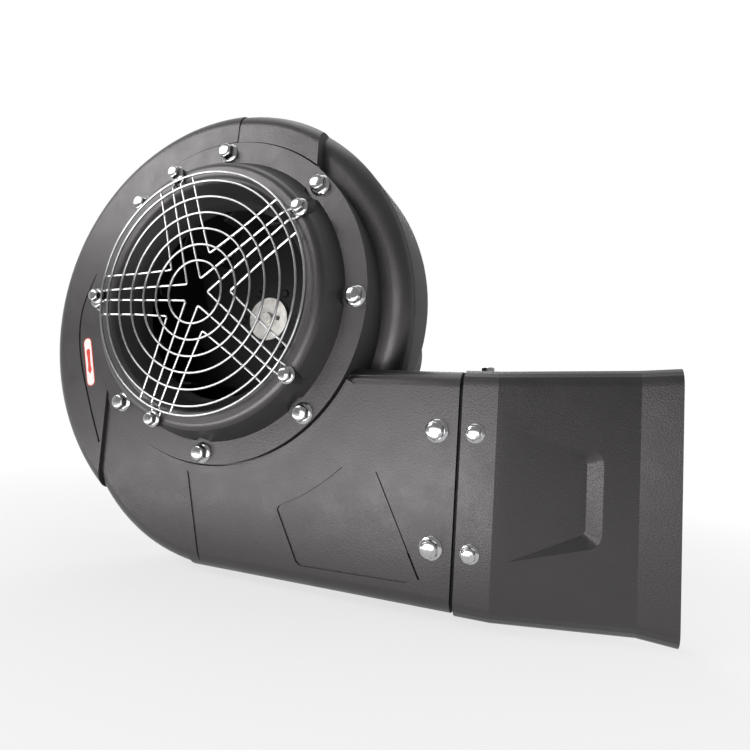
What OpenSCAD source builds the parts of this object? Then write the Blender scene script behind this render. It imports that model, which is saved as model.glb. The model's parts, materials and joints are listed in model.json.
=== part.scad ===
// Centrifugal fan with a moulded scroll housing, a wire-guarded inlet,
// a flat nozzle on the outlet and a flange motor on feet behind it.
// The origin is the middle of the motor feet, on the face that is bolted down.

/* [Scroll housing] */
// Radius of the scroll wall on the cut-off side
scroll_r = 208; // [205:1:211]
// Height of the centre of that wall above the fan axis
scroll_lift = 5; // [3:1:8]
// Radius of the scroll wall on the left side
left_r = 238.8; // [234:0.2:243]
// Radius of the scroll wall along the lower segment
low_r = 210.6; // [208:0.2:214]
// Distance from the fan axis down to the bottom of the duct
scroll_drop = 285; // [282:1:290]
// Depth of the housing from its back face to its raised front face
scroll_depth = 115; // [112:1:120]
// Wall thickness of the housing and the nozzle
wall = 5; // [4.5:0.5:6]
// Radius that rounds the long edges of the housing
edge_round = 16; // [12:1:18]
// Height of the outlet duct
duct_h = 216; // [210:1:222]
// Distance from the fan axis to the end of the outlet duct
duct_end = 269; // [264:1:280]

/* [Nozzle] */
// Gap that shows between the duct and the nozzle
seam_gap = 3.5; // [2:0.5:5]
// Length of the nozzle
nozzle_len = 179; // [165:1:195]
// Length of the straight collar at the start of the nozzle
collar_len = 31; // [29:1:36]
// Length of the straight band at the mouth
mouth_band = 32; // [24:1:38]
// Height of the nozzle where the band at the mouth starts
mouth_h = 229; // [220:1:236]
// Depth of the mouth, across the flat of the nozzle
mouth_depth = 40; // [36:1:48]

/* [Inlet ring] */
// Radius of the bolted flange
flange_r = 176; // [174:0.5:178]
// Radius of the circle of flange bolts
ring_bolt_r = 164.3; // [163:0.1:165.5]
// Height of the crown of the ring above its flange
crown_h = 27; // [24:1:32]
// Radius of the inlet throat
throat_r = 108; // [104:1:110]

/* [Guard] */
// Radius of the outer guard ring
guard_r = 126.4; // [124:0.1:128]
// Diameter of the guard wire
wire_d = 2.4; // [2.2:0.1:2.8]
// Radius of the circle of guard bolts
guard_bolt_r = 138.6; // [137.5:0.1:139]

/* [Impeller] */
// Radius of the impeller
wheel_r = 163; // [158:1:165]
// Number of blades
blade_count = 10; // [8:1:12]
// Blade angle at the eye, measured from the tangent
blade_in = 30; // [25:1:35]
// Blade angle at the rim, measured from the tangent
blade_out = 45; // [40:1:50]

/* [Motor] */
// Height of the shaft above the feet
shaft_h = 100; // [100:1:104]
// Diameter of the shaft extension
shaft_d = 28; // [26:1:29]
// Length of the shaft extension
shaft_len = 60; // [58:1:64]
// Outer radius of the motor frame without its fins
frame_r = 90; // [89:0.5:91]
// Length of the motor frame
frame_len = 211; // [208:1:225]
// Distance between the foot holes across the shaft
foot_span_x = 160; // [158:1:164]
// Distance between the foot holes along the shaft
foot_span_y = 140; // [136:1:144]

/* [Hidden] */
$fn = 64;

// Stations along the shaft: zero is the motor's flange face, and the inlet is on the plus side
hub_proud = 1.5;
plate_t = 3;
wheel_back = shaft_len + hub_proud - 0.5 - plate_t;
wheel_front = wheel_back + plate_t;
back_z = wheel_back - 5;
pad_z = back_z - 1;
face_z = back_z + scroll_depth;
flange_z = face_z + 2;
flange_t = 10;
seat_z = flange_z - flange_t;
crown_z = flange_z + crown_h;
guard_z = crown_z + 8;
duct_face_z = face_z - 5;

// Scroll outline: three arcs, each a moulded segment with a small step to the next
joint_step = 0.8;
low_step = 1.3;
back_step = 0.5;
centre_1 = [0, scroll_lift];
centre_2 = [-3, scroll_r + scroll_lift + joint_step - left_r];
centre_3 = [9.7, low_step + low_r - scroll_drop];
cutoff_span = [-30, 100];
left_span = [87, 250];
low_span = [195, 300];
joint_x = -145;
segment_rise = 1.2;
segment_z = duct_face_z + segment_rise;
base_r = 187;
base_z = duct_face_z + 0.4;
pedestal_span = [200, 333];
pedestal_foot = base_r + 5;
pedestal_top = base_r - 4;
pedestal_h = 5;
pedestal_rise = 3;
duct_low = -scroll_drop;
duct_top = duct_low + duct_h;
duct_mid = (duct_low + duct_top) / 2;
duct_mid_z = (back_z + duct_face_z) / 2;
duct_start = [1, duct_low + 12];
duct_start_lean = 15;
duct_overlap = 14;
duct_root_x = -80;
seat_gap = 2;
far = 400;

// Sloped step in the front face on the cut-off side
step_x = 109;
step_tilt = 9.4;
step_z = face_z - 38;
step_round = 22;
step_ease = 1.2;

// Shallow panel on the front of the duct
panel_depth = 1.5;
panel_groove_w = 2.2;
panel_groove_depth = 3;
panel_r = 229;
panel_span = [-67, -46];
panel_round = 9;
panel_corners = [[duct_end - 75, duct_low + 123], [duct_end - 28, duct_low + 23],
  [duct_end - 151, duct_low + 21]];

// Groove in the left face: angle about the arc's centre and distance in from the wall
groove_w = 2.4;
groove_depth = 1.6;
groove_stops = [[161, 50.6], [175.3, 43.1], [190.2, 44.7], [209.6, 46.7], [225.8, 35.1]];
groove_steps = 5;

// Inlet opening and bosses of the housing
ring_spigot_r = 150;
boss_low = seat_z - 26;
boss_r = flange_r - 1;
insert_r = 7;
insert_len = 20;
back_open_r = 170;
adapter_r = 186;
adapter_bolt_r = 178;
back_insert_r = 6;
ring_bolt_count = 8;
back_bolt_count = 8;
back_phase = 180 / back_bolt_count;

// Bell mouth of the inlet ring
crown_r = (guard_r + guard_bolt_r) / 2 - 1.5;
crown_half = 12;
crown_round = 9;
skin = 4;
spigot_drop = 5;
cone_foot = 2.6;
socket_room_r = 16;
socket_room_h = 8;
guard_boss_r = 8;
guard_insert_len = 16;

// Fasteners: nominal diameters
ring_bolt_d = 10;
guard_bolt_d = 8;
neck_bolt_d = 10;
nozzle_bolt_d = 8;
motor_bolt_d = 12;
screw_d = 6;
hole_room = 0.5;
thread_room = 0.1;
hex_corner = 1.73;
head_share = 0.95;
skirt_share = 1.09;

// Outlet joint
sleeve_t = 3;
sleeve_back = 45;
neck_bolt_x = duct_end - 19;
nozzle_x = duct_end + seam_gap;
nozzle_bolt_x = nozzle_x + 12.5;
outlet_bolt_pitch = 104;
outlet_bolt_y = duct_mid + 0.5;
collar_proud = 1.5;
mouth_rise = 3;
mouth_round = 17;
mouth_flare = 2.5;
nut_h = 8;
bolt_proud = 2;
sleeve_room = 0.5;
sleeve_stop = 1.5;
inner_low = duct_low + wall;
inner_top = duct_top - wall;
inner_back = back_z + wall;
inner_face = duct_face_z - wall;
inner_round = edge_round - wall;

// Recess in the sloped front of the nozzle: its floor is steeper than that front
flare_from = nozzle_x + collar_len;
flare_to = nozzle_x + nozzle_len - mouth_band;
recess_start = flare_from + 12;
recess_len = 69;
recess_half = 58;
recess_end_half = 31;
recess_dive = 8;
recess_draft = 0.85;
recess_round = 6;
recess_rise = 28;
recess_y = duct_mid + 3.5;

// Wire guard
ring_count = 6;
ring_first = 32.8;
ring_pitch = (guard_r - 9.4 - ring_first) / (ring_count - 1);
arm_count = 5;
arm_phase = 36;
spoke_z = guard_z - wire_d + 0.3;
eye_z = crown_z + wire_d / 2;
eye_room = 0.4;
eye_r = guard_bolt_d / 2 + wire_d / 2 + eye_room;
arm_drop_r = guard_r - 3;
arm_seat_r = guard_bolt_r - skirt_share * guard_bolt_d - 2 * eye_room;
star_reach = 14.5;
vee_reach = 42;
vee_end_offset = 21.3;

// Impeller
wheel_rim = wheel_front + 52;
throat_t = 3;
eye_ring_r = throat_r + throat_t + 3;
shroud_t = 2.5;
shroud_eye_z = wheel_rim + 33;
eye_ring_h = 6;
throat_end = shroud_eye_z + 2;
blade_t = 2.5;
blade_root_r = 100;
hub_r = 26;
hub_flange_r = 50;
hub_flange_t = 8;
hub_nose_r = 22;
spigot_h = 4;
hub_back = spigot_h + 2;
rivet_count = 6;
rivet_r = 3;
rivet_ring_r = 38;
rivet_head_r = 5.5;
rivet_top_r = 3.5;
rivet_head_h = 2.2;
disc_r = 27;
disc_t = 5;
disc_hole_r = 3.2;
disc_hole_ring = 14;
disc_head_h = 6.4;
disc_bolt_in = 20;
blade_arc_r = (wheel_r * wheel_r - blade_root_r * blade_root_r)
  / (2 * (wheel_r * cos(blade_out) - blade_root_r * cos(blade_in)));
blade_arc_at = sqrt(wheel_r * wheel_r + blade_arc_r * blade_arc_r
  - 2 * wheel_r * blade_arc_r * cos(blade_out));

// Adapter between motor and housing
adapter_t = 6;
spigot_r = frame_r;
motor_flange_r = frame_r + 35;
motor_bolt_r = frame_r + 17.5;
cup_r = motor_flange_r + 5;
cup_floor = 10;
motor_nut_h = 10;

// Motor frame, feet and cowl
shield_t = 14;
foot_shift = 13.5;
foot_front = shield_t + (frame_len - foot_span_y) / 2 + foot_shift;
feet_mid = foot_front + foot_span_y / 2;
frame_back = -shield_t - frame_len;
frame_wall = 10;
frame_bore = frame_r - frame_wall;
fin_h = 8;
fin_t = 2.4;
fin_count = 10;
fin_pitch = 8;
shield_screw_r = frame_r - frame_wall / 2;
shield_screw_in = 18;
foot_t = 12;
foot_w = 56;
foot_margin = 22;
foot_hole_d = 12;
foot_screw_d = screw_d + 2;
foot_screw_len = 16;
foot_screw_in = 15;
foot_screw_z = [-foot_front - foot_screw_in, foot_screw_in - foot_front - foot_span_y];
foot_bore_d = 14;
foot_bore_h = 8.5;
frame_room = 1;
pad_w = 26;
pad_out = foot_span_x / 2 - foot_hole_d / 2;
pad_in = pad_out - pad_w;
pad_drop = shaft_h - foot_t;
pad_rise = 50;
pad_setback = 26;
rear_t = 14;
tail_r = 12;
tail_len = 48;
tail_end = frame_back - tail_len;
cowl_r = frame_r + fin_h + 1;
cowl_t = 1.5;
cowl_room = 22;
cowl_end = tail_end - cowl_room;
cowl_screw_d = screw_d - 1;
cowl_screw_len = 12;
cowl_hole_r = 5.5;
cowl_hole_ring = 26;
cowl_hole_pitch = 18;
cowl_hole_room = 2.6;

// Stator, rotor and bearings
winding_len = 22;
winding_t = 5;
winding_room = 6;
drive_room = 29;
rear_room = 18;
core_front = -shield_t - drive_room - winding_len;
core_back = frame_back + rear_room + winding_len;
core_len = core_front - core_back;
rotor_share = 0.625;
rotor_r = rotor_share * frame_bore;
air_gap = 0.4;
rotor_shaft_r = 18;
end_ring_bore = 30;
end_ring_len = 14;
end_ring_step = 2;
bearing_bore = 15;
bearing_r = 31;
bearing_w = 16;
bearing_pitch = 23;
bearing_wall = 9;
bearing_lip = 4;
ring_gap = 3;
cage_half = 1;
cage_w = 3;
ball_r = 4.7;
ball_room = 0.15;
ball_count = 9;
bearing_front = -12;
rear_bearing_front = frame_back + 6;
washer_t = 1.5;
washer_w = 4;
seal_r = 20;
seal_w = 8;
seal_room = 0.3;
fan_hub_r = 20;
fan_hub_h = 24;
fan_disc_r = cowl_r - 21;
fan_disc_t = 3;
vane_count = 9;
vane_from = 18;
vane_t = 2.5;
vane_edge = 2;
key_w = 8;
key_h = 7;
key_depth = 4;
key_len = 42;
key_z = 10;
shaft_tap = 25;

// Terminal box
box_base = frame_r + 10;
box_w = 100;
box_l = 104;
box_h = 42;
box_setback = 32;
box_z = -shield_t - box_setback - box_l;
box_wall = 4;
box_pad_in = 22;
box_screw_d = screw_d - 1;
corner_in = 8;
corner_r = 7;
lid_t = 8;
gasket_t = 2;
gasket_w = 15;
wire_hole_r = 14;
gland_r = 10;
gland_bore = 6;
gland_hex_r = 15;
gland_hex_h = 8;
gland_cap_r = 12;
gland_len = 22;
block_x = -30;
block_size = [16, 18, 60];
block_z = 22;
stud_count = 3;
stud_d = 6;
stud_h = 8;

black = "#26262a";
chrome = "#d9dbde";
steel = "#b7babd";
dark_steel = "#6a6d70";
brass = "#c9a24a";
aluminium = "#c3c6c8";
motor_grey = "#5c6770";
copper = "#b5673a";
rubber_black = "#1c1c1c";
resin = "#8a3f2a";

// Front view frame: x to the outlet, y up, z along the shaft toward the inlet
module front_view() {
  translate([0, -feet_mid, shaft_h]) rotate([90, 0, 0]) children();
}

module around(count, radius, phase = 0) {
  for (i = [0 : count - 1])
    rotate(phase + 360 * i / count) translate([radius, 0, 0]) children();
}

module tube(outer, inner, length) {
  difference() {
    cylinder(r = outer, h = length);
    translate([0, 0, -1]) cylinder(r = inner, h = length + 2);
  }
}

// Hex head with the corners of its top turned off
module hex_head(d, height) {
  corner = hex_corner * d / 2;
  intersection() {
    cylinder(r = corner, h = height, $fn = 6);
    rotate_extrude() polygon([[0, 0], [corner + 1, 0], [corner + 1, height - 0.14 * d - 0.5],
      [0.82 * corner, height], [0, height]]);
  }
}

// Hex flange bolt: seat at z = 0, head above, shank below
module flange_bolt(d, length) {
  skirt = skirt_share * d;
  rotate_extrude() polygon([[0, 0], [skirt, 0], [skirt, 0.1 * d], [0.84 * d, 0.26 * d],
    [0, 0.26 * d]]);
  hex_head(d, head_share * d);
  translate([0, 0, -length]) cylinder(d = d, h = length);
}

// Socket screw with the same frame as the flange bolt
module cap_screw(d, length) {
  difference() {
    cylinder(d = 1.6 * d, h = d);
    translate([0, 0, 0.5 * d]) cylinder(d = 0.9 * d, h = d, $fn = 6);
  }
  translate([0, 0, -length]) cylinder(d = d, h = length);
}

module hex_nut(d, height) {
  difference() {
    cylinder(d = 1.9 * d, h = height, $fn = 6);
    translate([0, 0, -1]) cylinder(d = d + 2 * thread_room, h = height + 2);
  }
}

function arc(centre, radius, from, to, steps) =
  [for (i = [0 : steps]) let (a = from + (to - from) * i / steps)
    centre + radius * [cos(a), sin(a)]];
// Corner p between a and b, rounded
function fillet(a, p, b, radius, steps) = let (
    u = unit(a - p), v = unit(b - p), half = acos(u * v) / 2,
    centre = p + unit(u + v) * radius / sin(half),
    from = p + u * radius / tan(half) - centre, to = p + v * radius / tan(half) - centre)
  [for (i = [0 : steps]) centre + radius * unit(from * (1 - i / steps) + to * i / steps)];

// Round tube swept along a path that never runs straight up
function unit(v) = v / norm(v);
function tangent(path, i, closed) = let (n = len(path))
  closed ? unit(path[(i + 1) % n] - path[(i + n - 1) % n])
         : unit(path[min(i + 1, n - 1)] - path[max(i - 1, 0)]);
function section(path, i, radius, sides, closed) =
  let (t = tangent(path, i, closed), side = unit(cross([0, 0, 1], t)), up = cross(t, side))
  [for (k = [0 : sides - 1]) let (a = 360 * k / sides)
    path[i] + radius * (cos(a) * side + sin(a) * up)];

module sweep(path, radius, closed, sides = 8) {
  n = len(path);
  points = [for (i = [0 : n - 1]) each section(path, i, radius, sides, closed)];
  bands = [for (i = [0 : n - (closed ? 1 : 2)]) for (k = [0 : sides - 1])
    let (j = (i + 1) % n, m = (k + 1) % sides)
      [i * sides + k, j * sides + k, j * sides + m, i * sides + m]];
  caps = closed ? [] : [[for (k = [0 : sides - 1]) k],
    [for (k = [sides - 1 : -1 : 0]) (n - 1) * sides + k]];
  polyhedron(points, concat(bands, caps), convexity = 6);
}

// Half section of the scroll: a plate with its two outer corners rounded
module scroll_section(radius, low, high, corner) {
  polygon(concat([[0, low]],
    arc([radius - corner, low + corner], corner, -90, 0, 5),
    arc([radius - corner, high - corner], corner, 0, 90, 5), [[0, high]]));
}

module scroll_sector(centre, radius, from, to, low, high, corner) {
  translate(centre) rotate(from) rotate_extrude(angle = to - from, $fn = 96)
    scroll_section(radius, low, high, corner);
}

// Rounded section of the duct, in the plane across x
function duct_outline(low, high, back, front, corner) = concat(
  arc([low + corner, back + corner], corner, 180, 270, 5),
  arc([high - corner, back + corner], corner, 270, 360, 5),
  arc([high - corner, front - corner], corner, 0, 90, 5),
  arc([low + corner, front - corner], corner, 90, 180, 5));

// Rounded block along x between two stations
module duct_block(from, to, low, high, back, front, corner) {
  translate([from, 0, 0]) rotate([90, 0, 90]) linear_extrude(to - from)
    polygon(duct_outline(low, high, back, front, corner));
}

// Skin through sections, each given as its station on x and its outline
module loft(stations) {
  n = len(stations[0][1]);
  last = len(stations) - 1;
  points = [for (s = stations) for (p = s[1]) [s[0], p.x, p.y]];
  bands = [for (i = [0 : last - 1]) for (k = [0 : n - 1]) let (m = (k + 1) % n)
    [i * n + k, (i + 1) * n + k, (i + 1) * n + m, i * n + m]];
  caps = [[for (k = [0 : n - 1]) k], [for (k = [n - 1 : -1 : 0]) last * n + k]];
  polyhedron(points, concat(bands, caps), convexity = 4);
}

// Space in front of the sloped face beside the cut-off, with a rounded shoulder
module cutoff_step(inset) {
  reach = scroll_r + step_ease - inset;
  corner = step_round - inset;
  out = reach + step_round;
  difference() {
    translate([0, scroll_lift, step_z - inset]) rotate([step_tilt, 0, 0]) rotate_extrude()
      polygon(concat([[0, 0]], arc([reach - corner, -corner], corner, 90, 0, 5),
        [[out, -corner], [out, scroll_depth], [0, scroll_depth]]));
    cylinder(r = flange_r - inset, h = far);
    translate([step_x - inset - 2 * far, -far, 0]) cube([2 * far, 2 * far, far]);
  }
}

// Solid scroll and duct, moved in by inset on every side
module scroll_solid(inset, overrun) {
  low = back_z + inset;
  corner = edge_round - inset;
  difference() {
    union() {
      scroll_sector(centre_1, scroll_r - inset, cutoff_span[0], cutoff_span[1], low + back_step,
        face_z - 1 - inset, corner);
      translate([0, 0, pad_z + inset])
        cylinder(r = base_r - inset, h = base_z - pad_z - 2 * inset, $fn = 96);
    }
    cutoff_step(inset);
  }
  difference() {
    scroll_sector(centre_2, left_r - inset, left_span[0] + 2 * inset / wall, left_span[1],
      low + 2 * back_step, face_z - inset, corner);
    translate([joint_x - inset, -far, 0]) cube(far);
  }
  difference() {
    scroll_sector(centre_3, low_r - inset, low_span[0], low_span[1], low + 3 * back_step,
      segment_z - inset, corner);
    duct_line(-inset) translate([0, -far / 2, 0]) cube(far);
  }
  difference() {
    duct_block(duct_root_x, duct_end + overrun, duct_low + inset, duct_top - inset, low,
      duct_face_z - inset, corner);
    duct_line(inset - duct_overlap) translate([-far, -far / 2, 0]) cube(far);
  }
}

// Leaning line where the duct starts, moved along x
module duct_line(shift) {
  translate([duct_start.x + shift, duct_start.y, 0]) rotate(duct_start_lean) children();
}

// Low pedestal round the inlet ring, on the lower segment and the duct
module pedestal() {
  low = duct_face_z + pedestal_rise - pedestal_h;
  rotate(pedestal_span[0]) rotate_extrude(angle = pedestal_span[1] - pedestal_span[0], $fn = 96)
    polygon([[flange_r, low], [pedestal_foot, low], [pedestal_top, low + pedestal_h],
      [flange_r, low + pedestal_h]]);
}

// Panel on the duct: one side keeps an even distance from the inlet ring
module panel_outline() {
  side = arc([0, 0], panel_r, panel_span[0], panel_span[1], 8);
  ring = concat([side[8]], panel_corners, [side[0]]);
  polygon(concat([for (i = [1 : 7]) side[i]],
    fillet(side[7], side[8], ring[1], panel_round / 2, 3),
    [for (i = [1 : 3]) each fillet(ring[i - 1], ring[i], ring[i + 1], panel_round, 4)],
    fillet(ring[3], side[0], side[1], panel_round / 2, 3)));
}

// Curve through the groove's stops, as points on the left face
function blend(a, b, c, d, t) = 0.5 * (2 * b + (c - a) * t + (2 * a - 5 * b + 4 * c - d) * t * t
  + (3 * b - a - 3 * c + d) * t * t * t);
function groove_stop(i) = let (
    n = len(groove_stops), s = groove_stops[max(0, min(n - 1, i))])
  centre_2 + (left_r - s[1]) * [cos(s[0]), sin(s[0])];
groove_path = [for (i = [0 : len(groove_stops) - 2]) for (k = [0 : groove_steps - 1])
  blend(groove_stop(i - 1), groove_stop(i), groove_stop(i + 1), groove_stop(i + 2),
    k / groove_steps)];

module groove_outline() {
  n = len(groove_path);
  rim = [for (i = [0 : n - 1]) let (
      way = unit(groove_path[min(i + 1, n - 1)] - groove_path[max(i - 1, 0)]),
      half = groove_w / 2 * min(1, 0.3 + i / 4))
    half * [-way.y, way.x]];
  polygon(concat([for (i = [0 : n - 1]) groove_path[i] + rim[i]],
    [for (i = [n - 1 : -1 : 0]) groove_path[i] - rim[i]]));
}

module outlet_holes(x, d) {
  for (y = [-1, 1]) translate([x, outlet_bolt_y + y * outlet_bolt_pitch / 2, back_z - wall])
    cylinder(d = d, h = duct_face_z - back_z + 2 * wall);
}

module scroll_housing() {
  front_view() color(black) difference() {
    union() {
      difference() {
        scroll_solid(0, 0);
        scroll_solid(wall, 1);
      }
      translate([0, 0, boss_low]) tube(boss_r, ring_spigot_r, seat_z - boss_low);
      pedestal();
      translate([0, 0, pad_z + 1]) tube(adapter_r, back_open_r, insert_len + 1);
    }
    translate([0, 0, boss_low - 1]) cylinder(r = ring_spigot_r, h = scroll_depth);
    translate([0, 0, seat_z]) cylinder(r = flange_r + seat_gap, h = scroll_depth);
    translate([0, 0, pad_z - 1]) cylinder(r = back_open_r, h = 2 * wall);
    around(ring_bolt_count, ring_bolt_r) translate([0, 0, seat_z - insert_len])
      cylinder(r = insert_r, h = insert_len + 1);
    around(back_bolt_count, adapter_bolt_r, back_phase) translate([0, 0, pad_z - 1])
      cylinder(r = back_insert_r, h = insert_len + 1);
    outlet_holes(neck_bolt_x, neck_bolt_d + 2 * hole_room);
    translate([0, 0, duct_face_z - panel_depth]) linear_extrude(wall) panel_outline();
    translate([0, 0, duct_face_z - panel_groove_depth]) linear_extrude(wall)
      polygon([for (p = [[0, 0], [1, 0], [1, 1], [0, 1]])
        panel_corners[p.y] + [(p.x - 0.5) * panel_groove_w, (0.5 - p.y) * -panel_round]]);
    translate([0, 0, face_z - groove_depth]) linear_extrude(wall) groove_outline();
  }
}

module insert(outer, d, length) {
  tube(outer, d / 2 + thread_room, length);
}

module ring_inserts() {
  front_view() color(brass) around(ring_bolt_count, ring_bolt_r)
    translate([0, 0, seat_z - insert_len]) insert(insert_r, ring_bolt_d, insert_len);
}

module back_inserts() {
  front_view() color(brass) around(back_bolt_count, adapter_bolt_r, back_phase)
    translate([0, 0, pad_z]) insert(back_insert_r, guard_bolt_d, insert_len);
}

// Half section of the bell mouth, from the flange over the crown into the throat
module bell_section() {
  edge = [crown_r + crown_half - crown_round, crown_z - crown_round];
  lip = [crown_r - crown_half + crown_round, crown_z - crown_round];
  knee = flange_z - skin;
  foot = seat_z - spigot_drop;
  polygon(concat(
    [[flange_r, seat_z], [flange_r, flange_z], [ring_spigot_r + cone_foot, flange_z]],
    arc(edge, crown_round, 25, 90, 5),
    arc(lip, crown_round, 90, 160, 5),
    [[throat_r, knee], [throat_r, throat_end], [throat_r + throat_t, throat_end],
      [throat_r + throat_t, knee]],
    arc(lip, crown_round - skin, 160, 90, 3),
    arc(edge, crown_round - skin, 90, 25, 3),
    [[ring_spigot_r - throat_t, foot], [ring_spigot_r, foot], [ring_spigot_r, seat_z]]));
}

module inlet_ring() {
  front_view() color(black) difference() {
    union() {
      rotate_extrude($fn = 96) bell_section();
      around(arm_count, guard_bolt_r, arm_phase)
        translate([0, 0, flange_z]) cylinder(r = guard_boss_r, h = crown_h);
    }
    around(ring_bolt_count, ring_bolt_r) {
      translate([0, 0, seat_z - 1])
        cylinder(d = ring_bolt_d + 2 * hole_room, h = flange_t + crown_h);
      translate([0, 0, flange_z]) cylinder(r = socket_room_r, h = socket_room_h);
    }
    around(arm_count, guard_bolt_r, arm_phase) translate([0, 0, crown_z - guard_insert_len])
      cylinder(r = back_insert_r, h = guard_insert_len + 1);
  }
}

module guard_inserts() {
  front_view() color(brass) around(arm_count, guard_bolt_r, arm_phase)
    translate([0, 0, crown_z - guard_insert_len])
      insert(back_insert_r, guard_bolt_d, guard_insert_len);
}

module ring_bolts() {
  front_view() color(chrome) around(ring_bolt_count, ring_bolt_r)
    translate([0, 0, flange_z]) flange_bolt(ring_bolt_d, flange_t + insert_len - 4);
}

module guard_rings() {
  front_view() color(chrome) translate([0, 0, guard_z]) {
    for (i = [0 : ring_count - 1]) rotate_extrude()
      translate([ring_first + i * ring_pitch, 0]) circle(d = wire_d);
    rotate_extrude() translate([guard_r, 0]) circle(d = wire_d);
  }
}

// One arm of the star: out along one leg, round the bolt, back along the other
function spin(a, p) = [p.x * cos(a) - p.y * sin(a), p.x * sin(a) + p.y * cos(a), p.z];
function star_arm(a) = let (
    half = 180 / arm_count,
    tip = star_reach * [cos(half), sin(half)],
    out = [[tip.x + 5, tip.y - 0.6, spoke_z], [arm_drop_r, eye_r, spoke_z],
      [arm_seat_r, eye_r, eye_z]],
    eye = [for (p = arc([guard_bolt_r, 0], eye_r, 90, -90, 8)) [p.x, p.y, eye_z]],
    back = [for (i = [2 : -1 : 0]) [out[i].x, -out[i].y, out[i].z]])
  [for (p = concat(out, eye, back)) spin(a, p)];
// One V wire between two arms, from the outer ring to its corner and out again
function vee_wire(a) = let (
    half = 180 / arm_count,
    corner = vee_reach * [cos(half), sin(half)],
    leg = [[guard_r, vee_end_offset, spoke_z], [corner.x + 6, corner.y - 0.3, spoke_z]],
    far = [for (p = leg) spin(-2 * half, [p.x, p.y, p.z])],
    near = [for (p = leg) [p.x, -p.y, p.z]])
  [for (p = [far[0], far[1], spin(-half, [vee_reach - 1, 0, spoke_z]), near[1], near[0]])
    spin(a, p)];

module guard_spokes() {
  arms = [for (i = [0 : arm_count - 1]) arm_phase - i * 360 / arm_count];
  front_view() color(chrome) {
    sweep([for (a = arms) each star_arm(a)], wire_d / 2, true);
    for (a = arms) sweep(vee_wire(a), wire_d / 2, false);
  }
}

module guard_bolts() {
  front_view() color(chrome) around(arm_count, guard_bolt_r, arm_phase)
    translate([0, 0, crown_z + wire_d]) flange_bolt(guard_bolt_d, guard_insert_len);
}

module outlet_sleeve() {
  from = duct_end - sleeve_back;
  to = nozzle_x + collar_len - sleeve_stop;
  skin_y = sleeve_t + sleeve_room;
  front_view() color(steel) difference() {
    duct_block(from, to, inner_low + sleeve_room, inner_top - sleeve_room, inner_back,
      inner_face, inner_round);
    duct_block(from - 1, to + 1, inner_low + skin_y, inner_top - skin_y,
      inner_back + sleeve_t, inner_face - sleeve_t, inner_round - sleeve_t);
    outlet_holes(neck_bolt_x, neck_bolt_d + 2 * hole_room);
    outlet_holes(nozzle_bolt_x, nozzle_bolt_d + 2 * hole_room);
    nozzle_edge(duct_low) cylinder(d = nozzle_bolt_d + 2 * hole_room, h = duct_h);
  }
}

// Places a piece on the middle of the collar's lower edge, pointing up
module nozzle_edge(y) {
  translate([nozzle_bolt_x, y, duct_mid_z]) rotate([-90, 0, 0]) children();
}

// Two pieces on the front of the outlet and two on its back, seats at the given stations
module outlet_pairs(x, front, back) {
  for (y = [-1, 1]) translate([x, outlet_bolt_y + y * outlet_bolt_pitch / 2, 0]) {
    translate([0, 0, front]) children();
    translate([0, 0, back]) rotate([180, 0, 0]) children();
  }
}

module neck_bolts() {
  front_view() color(chrome) outlet_pairs(neck_bolt_x, duct_face_z, back_z)
    flange_bolt(neck_bolt_d, wall + sleeve_t + nut_h + bolt_proud);
}

module neck_nuts() {
  front_view() color(steel)
    outlet_pairs(neck_bolt_x, inner_face - sleeve_t - nut_h, inner_back + sleeve_t + nut_h)
      hex_nut(neck_bolt_d, nut_h);
}

module nozzle_body(inset, from, to) {
  low = duct_low - collar_proud + inset;
  high = duct_top + collar_proud - inset;
  back = back_z - collar_proud + inset;
  front = duct_face_z + collar_proud - inset;
  mouth_mid = duct_mid + mouth_rise;
  mouth_low = mouth_mid - mouth_h / 2 + inset;
  mouth_high = mouth_mid + mouth_h / 2 - inset;
  mouth_back = duct_mid_z - mouth_depth / 2 + inset;
  mouth_front = duct_mid_z + mouth_depth / 2 - inset;
  corner = edge_round - inset;
  mouth_corner = mouth_round - inset;
  collar = duct_outline(low, high, back, front, corner);
  crease = duct_outline(mouth_low, mouth_high, mouth_back, mouth_front, mouth_corner);
  lip = duct_outline(mouth_low - mouth_flare, mouth_high + mouth_flare, mouth_back, mouth_front,
    mouth_corner);
  difference() {
    loft([[from, collar], [flare_from, collar], [flare_to, crease], [to, lip]]);
    nozzle_recess(inset);
  }
}

// Outline of the recess, moved out by grow on three sides
module recess_outline(grow) {
  side = [[0, -recess_half - grow], [recess_len + grow, -recess_end_half - grow],
    [recess_len + grow, recess_end_half + grow], [0, recess_half + grow]];
  polygon(concat([side[0]],
    fillet(side[0], side[1], side[2], recess_round + grow, 4),
    fillet(side[1], side[2], side[3], recess_round + grow, 4), [side[3]]));
}

// Wedge with sloped sides, whose floor leaves the nozzle's front at one end and dives into it
module nozzle_recess(grow) {
  front = duct_face_z + collar_proud;
  fall = front - duct_mid_z - mouth_depth / 2;
  slope = atan(fall / (flare_to - flare_from));
  start_z = front - (recess_start - flare_from) * tan(slope);
  slice = 0.01;
  translate([recess_start, recess_y, start_z]) rotate([0, slope + recess_dive, 0])
    translate([0, 0, -grow]) hull() {
      linear_extrude(slice) recess_outline(grow);
      translate([0, 0, recess_rise]) linear_extrude(slice)
        recess_outline(grow + recess_draft * recess_rise);
    }
}

module nozzle() {
  end = nozzle_x + nozzle_len;
  front_view() color(black) difference() {
    nozzle_body(0, nozzle_x, end);
    nozzle_body(wall + collar_proud, nozzle_x - 1, end + 1);
    duct_block(nozzle_x - 1, nozzle_x + collar_len, inner_low, inner_top, inner_back,
      inner_face, inner_round);
    outlet_holes(nozzle_bolt_x, nozzle_bolt_d + 2 * hole_room);
    nozzle_edge(duct_low - wall) cylinder(d = nozzle_bolt_d + 2 * hole_room, h = duct_h + 2 * wall);
  }
}

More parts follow.
